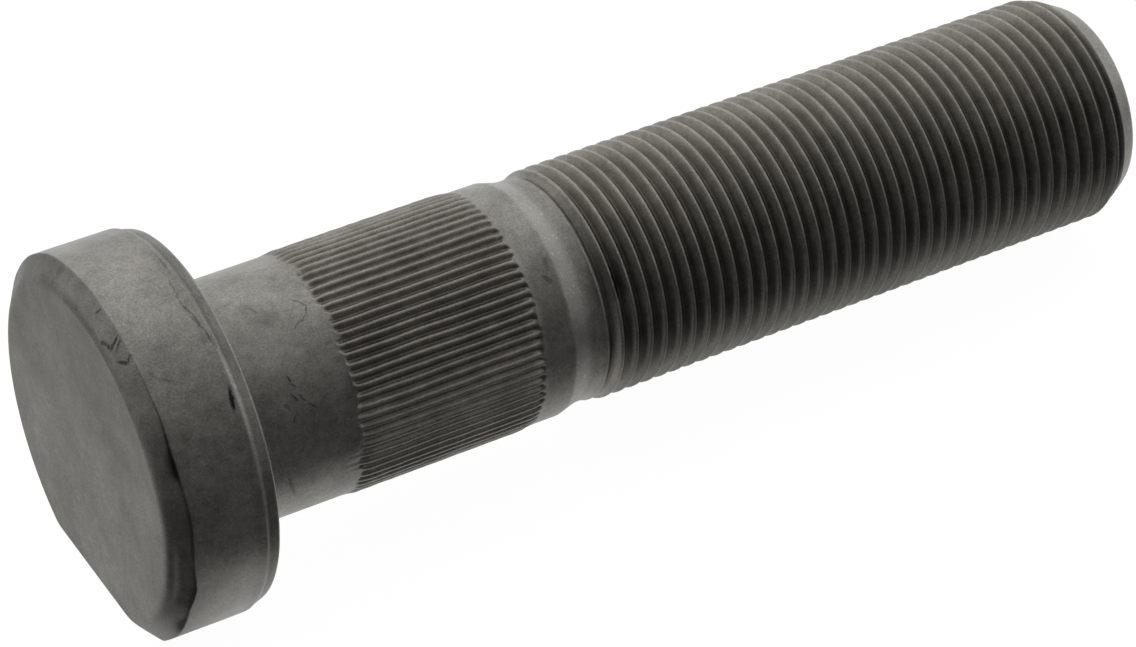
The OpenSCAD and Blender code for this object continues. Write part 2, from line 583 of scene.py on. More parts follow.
@dataclass
class Shank:
    """Plain neck, serrated band and collar."""

    neck_r: float = 11.0
    neck_start: float = 10.9
    neck_end: float = 20.7
    crest_r: float = 11.185
    root_r: float = 10.74
    teeth: int = 72
    first_crest: float = math.radians(0.15)
    band_end: float = 39.5
    slope: float = 1.2
    groove_stop: float = 0.2
    groove_run: float = 0.42
    collar_r: float = 10.98
    neck_rings: int = 7
    band_rings: int = 34
    # Distance from each end of the band to the evenly spaced rings
    band_inset: float = 2.1
    # Distance from each end of the band to where its finish starts, and how softly it does
    finish_inset: float = 0.1
    finish_fade: float = 0.5

    # Seed and scatter of the grooves' ends and of the crests' heights
    seed: int = 41
    start_scatter: float = 0.18
    end_scatter: float = 0.1
    height_scatter: float = 0.012
    # Height of the burrs, their even share, wander of the crests, and swell of the shank
    burr: float = 0.02
    burr_share: float = 0.8
    wander: float = math.radians(0.2)
    swell: float = 0.0008

    # Soot and painted shade in the grooves, how much less there is on top, which is painted light,
    # and the depths between which it grows
    soot_shade: float = 0.4
    shade_less_on_top: float = 0.25
    soot_shade_depths: Pair = (0.45, 1.0)
    # Wear of the crests, and the heights of the burrs between which it grows
    wear: float = 0.04
    wear_heights: Pair = (-0.9, 0.9)
    # Darkening of one side of the band
    side_stain: float = 0.12
    # Angles in degrees: the side opposite the flat, from both of its ends, and the darker side
    top_before: Pair = (-140.0, -170.0)
    top_after: Pair = (130.0, 160.0)
    darker_side: Stretch = Stretch(rise=(-165.0, -140.0), fall=(-106.0, -124.0))

    large: ClassVar[Waves] = Waves(seed=21, length=8.0)
    burrs: ClassVar[Waves] = Waves(seed=22, length=0.7)
    drift: ClassVar[Waves] = Waves(seed=23, length=3.4)

    # Distances of the closely spaced rings from each end of the band, and of the collar's rings
    end_steps: ClassVar[tuple[float, ...]] = (
        0.0, 0.12, 0.2, 0.28, 0.38, 0.5, 0.65, 0.85, 1.2, 1.7)
    collar_steps: ClassVar[tuple[float, ...]] = (0.3, 0.9, 1.6, 2.2, 2.55, 2.68)
    # Angle from a crest, as a share of half the pitch, and depth there, as a share of a groove
    tooth_shape: ClassVar[tuple[Pair, ...]] = (
        (-0.85, 1.0), (-0.54, 0.46), (-0.25, 0.0), (0.25, 0.0), (0.54, 0.46), (0.85, 1.0))

    def columns(self) -> Array:
        """Angles of the columns, with one for each place of the tooth's shape.

        Returns:
            Angles in radians, starting in a groove.
        """
        half_pitch = math.pi / self.teeth
        step = np.array([a for a, _ in self.tooth_shape]) * half_pitch
        crests = self.first_crest + np.arange(self.teeth) * 2 * half_pitch
        return (crests[:, None] + step[None, :]).ravel()

    def stations(self) -> list[float]:
        """Stations of the rings.

        Returns:
            Stations from behind the fillet to the collar, closer at both ends of the band.
        """
        neck = np.linspace(self.neck_start, self.neck_end, self.neck_rings + 2)[1:-1]
        first, last = self.neck_end + self.band_inset, self.band_end - self.band_inset
        rise = [self.neck_end + step for step in self.end_steps]
        fall = [self.band_end - step for step in reversed(self.end_steps)]
        collar = [self.band_end + step for step in self.collar_steps]
        return [*neck, *rise, *np.linspace(first, last, self.band_rings), *fall, *collar]

    def scatter(self) -> tuple[Array, Array, Array]:
        """Unevenness of the rolled teeth.

        Returns:
            Where each tooth's groove starts and ends, and how far its crest stands proud.
        """
        rng = np.random.default_rng(self.seed)
        start = self.neck_end + self.groove_stop + self.start_scatter * rng.normal(size=self.teeth)
        end = self.band_end - self.groove_stop + self.end_scatter * rng.normal(size=self.teeth)
        return start, end, self.height_scatter * rng.normal(size=self.teeth)

    def radius(self, depth: Array, station: float) -> Array:
        """Radius of each column at a station.

        Args:
            depth: depth of the groove in each column, as a share.
            station: station along the axis.

        Returns:
            The radius of each column.
        """
        crest = float(np.interp(
            station,
            [self.neck_end, self.neck_end + self.slope, self.band_end - self.slope, self.band_end],
            [self.neck_r, self.crest_r, self.crest_r, self.collar_r],
        ))
        per_tooth = len(self.tooth_shape)
        start, end, height = (np.repeat(values, per_tooth) for values in self.scatter())
        inside = smooth(0.0, self.groove_run, station - start)
        inside *= smooth(0.0, self.groove_run, end - station)
        return crest + height * inside - depth * inside * (crest - self.root_r)

    def grow(self, skin: Skin, last: Array) -> Array:
        """Adds the neck, the serrations and the collar.

        Args:
            skin: skin to grow.
            last: numbers of the ring at the end of the fillet.

        Returns:
            Numbers of the last fine ring, on the collar.
        """
        columns = self.columns()
        depth = np.tile([d for _, d in self.tooth_shape], self.teeth)
        for station in self.stations():
            in_band = smooth(0.0, self.finish_fade, station - self.neck_end - self.finish_inset)
            in_band *= smooth(0.0, self.finish_fade, self.band_end - self.finish_inset - station)
            radius = self.radius(depth, station)
            drift = self.drift.at(ring_points(columns, radius, station))
            ring = ring_points(columns + self.wander * in_band * drift, radius, station)
            rough = self.burrs.at(ring)
            lift = np.where(depth == 0, rough - self.burr_share, self.burr_share * rough)
            lift *= self.burr * in_band / self.crest_r
            ring[:, :2] *= (1 + self.swell * self.large.at(ring) + lift)[:, None]
            last = skin.extend(last, ring, self.paint(depth, rough, in_band))
        return last

    def paint(self, depth: Array, rough: Array, in_band: float) -> Array:
        """Marks of one ring.

        Args:
            depth: depth of the groove in each column, as a share.
            rough: height of the burrs in each column, from -1 to 1.
            in_band: share of the ring that has the band's finish.

        Returns:
            One row of Mark values for each column.
        """
        turned = signed_degrees(self.columns())
        top = smooth(*self.top_before, turned) + smooth(*self.top_after, turned)
        # Soot and painted shade in the grooves, with less of it on top as painted light
        soot_shade = self.soot_shade - self.shade_less_on_top * top
        return marks_of(
            FINE,
            deep=soot_shade * smooth(*self.soot_shade_depths, depth) * in_band,
            worn=self.wear * (depth == 0) * smooth(*self.wear_heights, rough) * in_band,
            stain=self.side_stain * self.darker_side.share(turned) * in_band,
            rolled=in_band,
        )


@dataclass
class Thread:
    """Rolled fine thread with its run-out, its chamfered end and the end face.

    Its rows of points follow the helix. A turn takes one row for each place of the form. Two
    wedges of rows lead from a plain ring into the first turn and out of the last one.
    """

    pitch: float = 1.5
    crest_r: float = 10.9
    root_r: float = 10.08
    blank_r: float = 10.45
    first_crest: float = 49.06
    runout_start: float = 45.1
    runout_end: float = 47.0
    cone_start: float = 101.28
    bolt_len: float = 104.1
    end_r: float = 9.35
    turns: int = 38
    lead_turns: int = 2

    # Bare wear on the cone that leads down to the relief
    relief_wear: float = 0.5
    relief_worn: Stretch = Stretch(rise=(42.3, 42.5), fall=(44.4, 43.7))
    # Depths between which soot with painted shade in the roots and the crests' wear grow, and the
    # crests' wear
    soot_shade_depths: Pair = (0.6, 1.0)
    wear_depths: Pair = (0.08, 0.0)
    crest_wear: float = 0.12
    # Heights above the end's cone over which the rolled finish fades
    cone_blend: Pair = (-0.02, 0.08)
    # Painted shade of the thread's lower side, near the flat, its angles in degrees, and the
    # station of its full strength
    under_stain: float = 0.5
    under_side: Stretch = Stretch(rise=(-117.0, -84.0), fall=(70.0, 30.0))
    under_full: float = 50.0

    # Distance from a crest along the axis, and depth there as a share of the thread's depth
    form: ClassVar[tuple[Pair, ...]] = (
        (-0.7, 1.0), (-0.59, 0.94), (-0.38, 0.53), (-0.2, 0.14), (-0.13, 0.03), (-0.06, 0.0),
        (0.06, 0.0), (0.13, 0.03), (0.2, 0.14), (0.38, 0.53), (0.59, 0.94), (0.7, 1.0))
    # Station and radius of each ring on the way to the relief, and of each one at the end
    relief_rings: ClassVar[tuple[Pair, ...]] = (
        (42.32, 10.955), (42.45, 10.92), (42.7, 10.85), (43.1, 10.74), (43.5, 10.63),
        (43.85, 10.54), (44.2, 10.475), (44.6, 10.45))
    end_rings: ClassVar[tuple[Pair, ...]] = (
        (103.9, 9.45), (104.03, 9.37), (104.08, 9.31), (104.1, 9.2), (104.1, 8.9), (104.1, 7.4),
        (104.1, 5.2), (104.1, 3.0), (104.1, 1.2))

    def start(self) -> float:
        """Station of the plain ring from which the rows grow."""
        return self.first_crest - self.lead_turns * self.pitch + self.form[0][0]

    def end(self) -> float:
        """Station of the plain ring on which the rows end."""
        return self.start() + (self.turns + 1) * self.pitch

    def rises(self) -> list[float]:
        """Share of the pitch from the start of a turn to each of its rows."""
        return [(place - self.form[0][0]) / self.pitch for place, _ in self.form]

    def depth(self, station: Array, angle: Array) -> Array:
        """Depth of the thread below its crest.

        Args:
            station: stations along the axis.
            angle: angles from the flat's direction, in radians.

        Returns:
            A share from 0 at a crest to 1 at a root.
        """
        turn = (station - self.first_crest) / self.pitch - angle / TURN
        off = (turn - np.round(turn)) * self.pitch
        return np.interp(off, *zip(*self.form))

    def surface(self, station: Array, angle: Array) -> tuple[Array, Array]:
        """Points and marks of the thread.

        Args:
            station: stations along the axis.
            angle: angles from the flat's direction, in radians.

        Returns:
            One row of x, y and station for each point, and its marks.
        """
        depth = self.depth(station, angle)
        full = self.crest_r - depth * (self.crest_r - self.root_r)
        grown = smooth(self.runout_start, self.runout_end, station)
        radius = self.blank_r + (full - self.blank_r) * grown
        fall = (self.crest_r - self.end_r) / (self.bolt_len - self.cone_start)
        cone = self.crest_r - fall * (station - self.cone_start)
        off_cone = 1 - smooth(*self.cone_blend, radius - cone)
        points = ring_points(angle, np.minimum(radius, cone), station)
        # Painted shade: the thread is darker on its lower side, near the flat
        under = self.under_side.share(signed_degrees(angle))
        under *= smooth(self.runout_start, self.under_full, station)
        # Deep roots get soot and painted shade
        return points, marks_of(
            len(points),
            deep=smooth(*self.soot_shade_depths, depth) * grown * off_cone,
            worn=self.crest_wear * smooth(*self.wear_depths, depth) * grown,
            stain=self.under_stain * under * off_cone,
            rolled=grown * off_cone,
        )

    def row(self, skin: Skin, stations: Array, skip: int = 0) -> Array:
        """Adds one row of points, one for each column after the skipped ones."""
        return skin.add(*self.surface(stations[skip:], TURN_ANGLE[skip:]))

    def grow(self, skin: Skin, last: Array) -> None:
        """Adds the relief, the thread and the end face.

        Args:
            skin: skin to grow.
            last: numbers of the last fine ring, on the collar.
        """
        wedge = self.wedge_rows(skin, self.relief(skin, last))
        rows = self.helical_rows(skin, wedge[-1])
        cap = self.cap_rows(skin, rows[-1])
        self.span_wedge(skin, wedge, rows)
        self.span_turns(skin, rows, cap)
        self.span_cap(skin, cap)
        self.close_end(skin, cap[-1])

    def relief(self, skin: Skin, last: Array) -> Array:
        """Adds the cone down to the relief, and the relief up to the thread's first ring.

        Args:
            skin: skin to grow.
            last: numbers of the last fine ring, on the collar.

        Returns:
            Numbers of the plain ring from which the rows grow.
        """
        for number, (station, radius) in enumerate(self.relief_rings):
            marks = marks_of(COARSE, worn=self.relief_wear * self.relief_worn.share(station))
            ring = skin.add(ring_points(TURN_ANGLE, radius, station), marks)
            if number == 0:
                skin.thin(last, ring)
            else:
                skin.join(last, ring)
            last = ring
        first = self.row(skin, np.full(COARSE, self.start()))
        skin.join(last, first)
        return first

    def wedge_rows(self, skin: Skin, first: Array) -> list[Array]:
        """Adds the rows that fan out from the first point of a plain ring.

        Args:
            skin: skin to grow.
            first: numbers of the plain ring.

        Returns:
            Numbers of each row, from the plain ring to the first row of the helix.
        """
        wedge = [first]
        for rise in [*self.rises()[1:], 1.0]:
            inner = self.row(skin, self.start() + self.pitch * rise * TURN_SHARE, skip=1)
            wedge.append(np.concatenate([first[:1], inner]))
        return wedge

    def helical_rows(self, skin: Skin, first: Array) -> list[Array]:
        """Adds the rows of all full turns.

        Args:
            skin: skin to grow.
            first: numbers of the first row.

        Returns:
            Numbers of each row.
        """
        rises = self.rises()
        rows = [first]
        for number in range(1, self.turns * len(rises) + 1):
            turn, place = divmod(number, len(rises))
            base = self.start() + self.pitch * (turn + rises[place])
            rows.append(self.row(skin, base + self.pitch * TURN_SHARE))
        return rows

    def cap_rows(self, skin: Skin, last: Array) -> list[Array]:
        """Adds the rows that level out to a plain ring on the end's cone.

        Args:
            skin: skin to grow.
            last: numbers of the last row of the helix.

        Returns:
            Numbers of each row, from the last one of the helix to the plain ring.
        """
        top = self.start() + self.pitch * self.turns
        cap = [last]
        for rise in self.rises()[1:]:
            share = rise * (1 - TURN_SHARE) + TURN_SHARE
            cap.append(self.row(skin, top + self.pitch * share))
        cap.append(self.row(skin, np.full(COARSE, self.end())))
        return cap

    def span_wedge(self, skin: Skin, wedge: list[Array], rows: list[Array]) -> None:
        """Spans the first wedge and closes it against the first turn.

        Args:
            skin: skin to grow.
            wedge: numbers of the wedge's rows.
            rows: numbers of the helix's rows.
        """
        for number, (low, high) in enumerate(zip(wedge, wedge[1:])):
            near = np.append(low[1:], rows[number][0])
            skin.strip(near, np.append(high[1:], rows[number + 1][0]))
            skin.triangle(low[0], low[1], high[1])

    def span_turns(self, skin: Skin, rows: list[Array], cap: list[Array]) -> None:
        """Spans the helix, where each row runs on into the row that lies one turn further.

        Args:
            skin: skin to grow.
            rows: numbers of the helix's rows.
            cap: numbers of the last wedge's rows.
        """
        starts = [row[0] for row in [*rows, *cap[1:]]]
        whole = [np.append(row, after) for row, after in zip(rows, starts[len(self.form):])]
        for low, high in zip(whole, whole[1:]):
            skin.strip(low, high)

    def span_cap(self, skin: Skin, cap: list[Array]) -> None:
        """Spans the last wedge, whose rows all end at the plain ring's first point.

        Args:
            skin: skin to grow.
            cap: numbers of the wedge's rows.
        """
        for low, high in zip(cap, cap[1:]):
            skin.strip(low, high)
            skin.triangle(low[-1], cap[-1][0], high[-1])

    def close_end(self, skin: Skin, last: Array) -> None:
        """Adds the last of the cone and the end face.

        Args:
            skin: skin to grow.
            last: numbers of the plain ring on the cone.
        """
        for station, radius in self.end_rings:
            ring = ring_points(TURN_ANGLE, radius, station)
            last = skin.extend(last, ring, marks_of(COARSE))
        middle = skin.add(np.array([[0.0, 0.0, self.bolt_len]]), marks_of(1))
        skin.close(last, int(middle[0]), first=False)


@dataclass(frozen=True)
class Pattern:
    """Cloudy pattern that makes a finish darker and lighter."""

    # Size of its blots in millimetres, number of its finer layers, and their strength
    size: float
    detail: float
    rough: float
    # Values of the pattern that give the two tones, and the tones
    low_high: Pair
    tones: Pair

    def tone(self, n: Nodes, value: Socket) -> Socket:
        """Tone for each value of the pattern."""
        return n.span(value, *self.low_high, *self.tones)


@dataclass(frozen=True)
class Ramp:
    """Change of a level between two places on the floor, which are in millimetres."""

    start: float
    end: float
    low: float
    high: float

    def at(self, n: Nodes, place: Socket) -> Socket:
        """Level at each place, in metres."""
        return n.span(place, self.start * MM, self.end * MM, self.low, self.high)


class Nodes:
    """Short hand for building one material's or world's nodes."""

    def __init__(self, tree: bpy.types.NodeTree) -> None:
        """Clears the tree to build in."""
        tree.nodes.clear()
        self.tree = tree

    def add(self, kind: str, **settings: object) -> Node:
        """Adds a node.

        Args:
            kind: Blender's name of the node type, without its ShaderNode start.
            **settings: properties to set on the node.

        Returns:
            The node.
        """
        node = self.tree.nodes.new("ShaderNode" + kind)
        for name, value in settings.items():
            setattr(node, name, value)
        return node

    def put(self, value: object, socket: Socket) -> None:
        """Links an output to an input, or sets a plain value on it.

        Args:
            value: an output socket, a number or a colour.
            socket: the input that takes it.
        """
        if isinstance(value, Socket):
            self.tree.links.new(value, socket)
        else:
            socket.default_value = value

    def math(self, operation: str, a: object, b: object = 0.0) -> Socket:
        """Adds a sum of two values.

        Args:
            operation: name of the sum.
            a: first value.
            b: second value.

        Returns:
            The result.
        """
        node = self.add("Math", operation=operation)
        self.put(a, node.inputs[0])
        self.put(b, node.inputs[1])
        return node.outputs[0]

    def vector(self, operation: str, *values: object) -> Node:
        """Adds a sum of vectors.

        Args:
            operation: name of the sum.
            *values: the vectors that it takes.

        Returns:
            The node, with a vector as its first output and a number as its "Value" output.
        """
        node = self.add("VectorMath", operation=operation)
        for number, value in enumerate(values):
            self.put(value, node.inputs[number])
        return node

    def mix(self, share: object, a: object, b: object, blend: str = "MIX") -> Socket:
        """Mixes two colours.

        Args:
            share: share of the second colour.
            a: first colour.
            b: second colour.
            blend: way of mixing.

        Returns:
            The mixed colour.
        """
        node = self.add("Mix", data_type="RGBA", blend_type=blend)
        # The node has one set of sockets for each kind of value, and 6, 7 and 2 are the colours'
        self.put(share, node.inputs[0])
        self.put(a, node.inputs[6])
        self.put(b, node.inputs[7])
        return node.outputs[2]

    def noise(self, place: Socket, size: float, detail: float, rough: float = 0.5) -> Node:
        """Adds a cloudy pattern.

        Args:
            place: coordinates in metres.
            size: size of its blots in millimetres.
            detail: number of finer layers.
            rough: strength of the finer layers.

        Returns:
            The node, with values from 0 to 1 as "Fac" and as "Color".
        """
        node = self.add("TexNoise")
        self.put(place, node.inputs["Vector"])
        self.put(1.0 / (size * MM), node.inputs["Scale"])
        self.put(detail, node.inputs["Detail"])
        self.put(rough, node.inputs["Roughness"])
        return node

    def pattern(self, place: Socket, kind: Pattern) -> Socket:
        """Values of a cloudy pattern, from 0 to 1."""
        return self.noise(place, kind.size, kind.detail, kind.rough).outputs["Fac"]

    def span(self, value: Socket, low: float, high: float, to_low: float, to_high: float) -> Socket:
        """Maps one range of values to another and holds it there.

        Args:
            value: value to map.
            low: start of its range.
            high: end of its range.
            to_low: result at the start.
            to_high: result at the end.

        Returns:
            The mapped value.
        """
        node = self.add("MapRange")
        for number, item in enumerate((value, low, high, to_low, to_high)):
            self.put(item, node.inputs[number])
        return node.outputs[0]

    def read(self, mark: Mark) -> Socket:
        """Value of one of the skin's marks."""
        return self.add("Attribute", attribute_name=mark.name.lower()).outputs["Fac"]


@dataclass(frozen=True)
class Stroke:
    """Dark scratch, nick or smudge, or painted shade of a notch, from one place on the skin to
    another.
    """

    # Station and angle in degrees of both ends
    start: Pair
    end: Pair
    # Distance of the stroke from the axis, its width, and how dark it is
    radius: float
    width: float
    level: float

    # How softly it ends, as squares of the distance from its middle to its edge
    edge: ClassVar[Pair] = (0.4, 1.6)

    def mask(self, n: Nodes, place: Socket) -> Socket:
        """Builds the stroke's mask.

        Args:
            n: nodes to build with.
            place: point in the bolt's own axes, in millimetres.

        Returns:
            The stroke's level on it and 0 away from it.
        """
        (station, angle), (far_station, far_angle) = self.start, self.end
        middle = math.radians((angle + far_angle) / 2)
        along = Vector((0.0, 0.0, 1.0))
        around = Vector((-math.sin(middle), math.cos(middle), 0.0))
        centre = Vector((math.cos(middle), math.sin(middle), 0.0)) * self.radius
        centre += along * (station + far_station) / 2
        run = along * (far_station - station)
        run += around * (math.radians(far_angle - angle) * self.radius)
        length = run.length + self.width
        ahead = run.normalized() if run.length > 0 else along
        aside = along * ahead.dot(around) - around * ahead.dot(along)
        offset = n.vector("SUBTRACT", place, centre).outputs[0]
        squares = []
        for way in (ahead * (2.0 / length), aside * (2.0 / self.width)):
            dot = n.vector("DOT_PRODUCT", offset, way).outputs["Value"]
            squares.append(n.math("POWER", n.math("ABSOLUTE", dot), 2.0))
        far = n.math("ADD", *squares)
        apart = n.vector("LENGTH", offset).outputs["Value"]
        near = n.math("LESS_THAN", apart, length + 2.0 * self.width)
        return n.math("MULTIPLY", near, n.span(far, *self.edge, self.level, 0.0))


STROKES = (
    # Nicks on the front chamfer
    Stroke((0.9, -172.6), (1.1, -172.0), 17.2, 0.28, 0.6),
    Stroke((0.2, -164.6), (0.38, -163.1), 16.5, 0.16, 0.6),
    Stroke((0.38, -163.1), (0.56, -160.2), 16.6, 0.2, 0.7),
    Stroke((0.56, -160.0), (1.12, -161.4), 17.0, 0.22, 0.75),
    Stroke((0.72, -158.6), (1.18, -159.8), 17.1, 0.18, 0.7),
    Stroke((0.6, -155.2), (0.94, -153.2), 17.0, 0.22, 0.75),
    Stroke((0.94, -153.2), (1.28, -154.4), 17.2, 0.18, 0.7),
    # Flow marks in front of the rear rim, and a faint smear near the front
    Stroke((7.66, -173.1), (7.41, -163.8), 17.5, 0.2, 0.4),
    Stroke((8.2, 176.2), (8.15, 185.9), 17.5, 0.26, 0.4),
    Stroke((9.4, 180.5), (8.85, 191.5), 17.2, 0.26, 0.45),
    Stroke((7.35, -163.8), (7.83, -160.3), 17.5, 0.24, 0.55),
    Stroke((7.83, -160.3), (7.95, -156.1), 17.5, 0.22, 0.55),
    Stroke((7.6, -159.5), (8.14, -154.2), 17.5, 0.24, 0.5),
    Stroke((8.14, -154.2), (8.26, -149.5), 17.5, 0.24, 0.55),
    Stroke((8.5, -154.3), (8.42, -147.7), 17.4, 0.24, 0.5),
    Stroke((7.5, -149.6), (7.7, -154.0), 17.5, 0.3, 0.25),
    Stroke((2.1, -148.1), (2.61, -145.6), 17.5, 0.3, 0.22),
    Stroke((2.61, -145.6), (3.73, -143.7), 17.5, 0.3, 0.22),
    # Smear beside the rear rim
    Stroke((8.02, -136.6), (7.78, -131.0), 17.5, 0.42, 0.95),
    # Smudge, curved scratch and specks on the neck
    Stroke((14.9, -171.0), (16.3, -163.0), 11.0, 2.0, 0.2),
    Stroke((15.3, -172.5), (15.7, -168.0), 11.0, 0.22, 0.5),
    Stroke((15.6, -163.0), (16.4, -159.0), 11.0, 0.2, 0.3),
    Stroke((19.0, -169.0), (19.9, -163.2), 11.0, 0.16, 0.5),
    Stroke((19.9, -163.4), (19.5, -159.0), 11.0, 0.18, 0.55),
    Stroke((19.5, -159.2), (17.8, -154.4), 11.0, 0.16, 0.5),
    Stroke((15.52, -134.9), (15.68, -132.9), 11.0, 0.22, 0.7),
    Stroke((15.75, -131.2), (15.85, -130.2), 11.0, 0.18, 0.6),
    Stroke((15.38, -126.8), (15.75, -123.9), 11.0, 0.16, 0.65),
    Stroke((16.05, -126.0), (16.42, -122.4), 11.0, 0.16, 0.6),
    Stroke((16.6, -121.4), (17.2, -118.0), 11.0, 0.14, 0.55),
    Stroke((14.9, -120.6), (14.55, -123.8), 11.0, 0.2, 0.4),
    Stroke((15.2, -117.6), (15.0, -115.0), 11.0, 0.2, 0.45),
    Stroke((13.8, -88.0), (14.5, -76.0), 11.0, 0.4, 0.35),
    # Smudges on the collar
    Stroke((41.66, -146.0), (41.6, -142.0), 11.0, 0.5, 0.28),
    Stroke((41.1, -138.4), (41.45, -136.2), 11.0, 0.5, 0.45),
    # Painted shade of the dark notch where the thread starts
    Stroke((47.5, -131.5), (47.4, -119.5), 10.6, 0.75, 0.9),
)


@dataclass(frozen=True)
class PhosphatedSteel:
    """Dark grey satin phosphate on steel, darker in its grooves from soot and painted shade, and
    lighter on worn crests.
    """

    turned: Colour = (0.385, 0.372, 0.34, 1.0)
    rolled: Colour = (0.37, 0.352, 0.31, 1.0)
    bare: Colour = (0.56, 0.55, 0.52, 1.0)
    # Dark of soot and stains, and of painted shade
    soot_shade: Colour = (0.03, 0.027, 0.023, 1.0)
    metallic: float = 0.9
    # Roughness in the pattern of blots, and the values of the pattern between which it runs
    roughness: Pair = (0.36, 0.46)
    rough_span: Pair = (0.3, 0.7)
    soot_shade_share: float = 0.6

    cloud: Pattern = Pattern(4.5, 4.0, 0.6, low_high=(0.3, 0.7), tones=(0.8, 1.16))
    blot: Pattern = Pattern(0.9, 3.0, 0.6, low_high=(0.3, 0.7), tones=(0.84, 1.13))
    grain: Pattern = Pattern(0.17, 2.0, 0.6, low_high=(0.3, 0.7), tones=(0.78, 1.24))
    # How much of the worn places is chipped bare
    chips: Pattern = Pattern(0.4, 2.0, 0.7, low_high=(0.61, 0.66), tones=(0.8, 6.0))
    # Size and number of layers of the waver of the strokes' edges, and its width in millimetres
    waver_size: float = 0.4
    waver_detail: float = 3.0
    waver_width: float = 0.4
    # Strength and height of the bumps, and share of the grain in them
    bump_strength: float = 0.35
    bump_height: float = 0.03 * MM
    bump_grain: float = 0.5

    def material(self) -> bpy.types.Material:
        """Builds the material.

        Returns:
            The material, under the finish's own name.
        """
        material = bpy.data.materials.new("phosphated_steel")
        material.use_nodes = True
        n = Nodes(material.node_tree)
        place = n.add("TexCoord").outputs["Object"]
        own = n.add("Attribute", attribute_name=OWN_PLACE).outputs["Vector"]
        patterns = (self.cloud, self.blot, self.grain)
        values = [n.pattern(place, pattern) for pattern in patterns]
        _, blot, grain = values
        colour = n.mix(n.read(Mark.ROLLED), self.turned, self.rolled)
        for pattern, value in zip(patterns, values):
            colour = n.mix(1.0, colour, pattern.tone(n, value), "MULTIPLY")
        colour = self.age(n, place, colour)
        # Stains and painted shade darken the colour
        colour = n.mix(self.stain(n, place, own), colour, self.soot_shade)
        shader = n.add("BsdfPrincipled")
        n.put(self.metallic, shader.inputs["Metallic"])
        n.put(colour, shader.inputs["Base Color"])
        n.put(n.span(blot, *self.rough_span, *self.roughness), shader.inputs["Roughness"])
        bump = n.add("Bump")
        n.put(self.bump_strength, bump.inputs["Strength"])
        n.put(self.bump_height, bump.inputs["Distance"])
        height = n.math("ADD", n.math("MULTIPLY", grain, self.bump_grain), blot)
        n.put(height, bump.inputs["Height"])
        n.put(bump.outputs[0], shader.inputs["Normal"])
        n.put(shader.outputs[0], n.add("OutputMaterial").inputs[0])
        return material

    def age(self, n: Nodes, place: Socket, colour: Socket) -> Socket:
        """Darkens the grooves with soot and painted shade, and bares the worn places.

        Args:
            n: nodes to build with.
            place: coordinates in metres.
            colour: colour of the new finish.

        Returns:
            The colour of the used finish.
        """
        # Soot and painted shade of the grooves, mixed into the colour
        deep = n.math("MULTIPLY", n.read(Mark.DEEP), self.soot_shade_share)
        colour = n.mix(deep, colour, self.soot_shade)
        chips = self.chips.tone(n, n.pattern(place, self.chips))
        worn = n.math("MULTIPLY", n.read(Mark.WORN), chips)
        return n.mix(n.math("MINIMUM", worn, 1.0), colour, self.bare)

    def stain(self, n: Nodes, place: Socket, own: Socket) -> Socket:
        """Share of dark stain and painted shade, from the skin's mark and from the strokes.

        Args:
            n: nodes to build with.
            place: coordinates in metres.
            own: point in the bolt's own axes, in millimetres.

        Returns:
            A share from 0 to 1.
        """
        stain = n.read(Mark.STAIN)
        waver = n.noise(place, self.waver_size, self.waver_detail).outputs["Color"]
        ragged = n.vector("MULTIPLY_ADD", waver, (self.waver_width,) * 3, own)
        own = n.vector("SUBTRACT", ragged.outputs[0], (self.waver_width / 2,) * 3).outputs[0]
        for stroke in STROKES:
            stain = n.math("MAXIMUM", stain, stroke.mask(n, own))
        return stain


@dataclass(frozen=True)
class PaleSweep:
    """Plain white sweep, with soft shade, that mirrors pale at the back and dark in front."""

    colour: Colour = (0.85, 0.85, 0.85, 1.0)
    lit_share: float = 0.85
    white_level: float = 1.14
    # Shift of the dark part's edge along the floor, in metres, first outwards and then back
    shift_out: Ramp = Ramp(-62.0, -44.0, low=-14.0 * MM, high=8.0 * MM)
    shift_back: Ramp = Ramp(-41.0, -34.0, low=0.0, high=8.0 * MM)
    # Levels across the floor, beside the head and beyond it
    across: Ramp = Ramp(-24.0, -3.0, low=0.02, high=1.0)
    beside_head: Ramp = Ramp(-51.0, -46.0, low=0.5, high=1.0)
    beyond_head: Ramp = Ramp(-76.0, -61.0, low=0.2, high=1.0)

    def material(self) -> bpy.types.Material:
        """Builds the material.

        Returns:
            The material, under the finish's own name.
        """
        material = bpy.data.materials.new("pale_sweep")
        material.use_nodes = True
        n = Nodes(material.node_tree)
        path = n.add("LightPath")
        seen = n.math("MAXIMUM", path.outputs["Is Camera Ray"], path.outputs["Is Glossy Ray"])
        seen = n.math("MAXIMUM", seen, path.outputs["Is Transmission Ray"])
        shade = n.add("BsdfDiffuse")
        n.put(self.colour, shade.inputs["Color"])
        level = self.level(n)
        white = n.math("MULTIPLY", path.outputs["Is Camera Ray"], self.white_level)
        glow = n.add("Emission")
        n.put(n.math("MAXIMUM", level, white), glow.inputs["Strength"])
        mixed = n.add("MixShader")
        n.put(n.math("MULTIPLY", seen, self.lit_share), mixed.inputs[0])
        n.put(shade.outputs[0], mixed.inputs[1])
        n.put(glow.outputs[0], mixed.inputs[2])
        n.put(mixed.outputs[0], n.add("OutputMaterial").inputs[0])
        return material

    def level(self, n: Nodes) -> Socket:
        """Brightness of the floor as the bolt mirrors it.

        Args:
            n: nodes to build with.

        Returns:
            The level at each place of the floor.
        """
        place = n.add("SeparateXYZ")
        n.put(n.add("TexCoord").outputs["Object"], place.inputs[0])
        along, across = place.outputs[0], place.outputs[1]
        shift = self.shift_out.at(n, along)
        shift = n.math("SUBTRACT", shift, self.shift_back.at(n, along))
        edge = n.math("ADD", across, shift)
        level = self.across.at(n, edge)
        for ramp in (self.beside_head, self.beyond_head):
            level = n.math("MINIMUM", level, ramp.at(n, along))
        return level


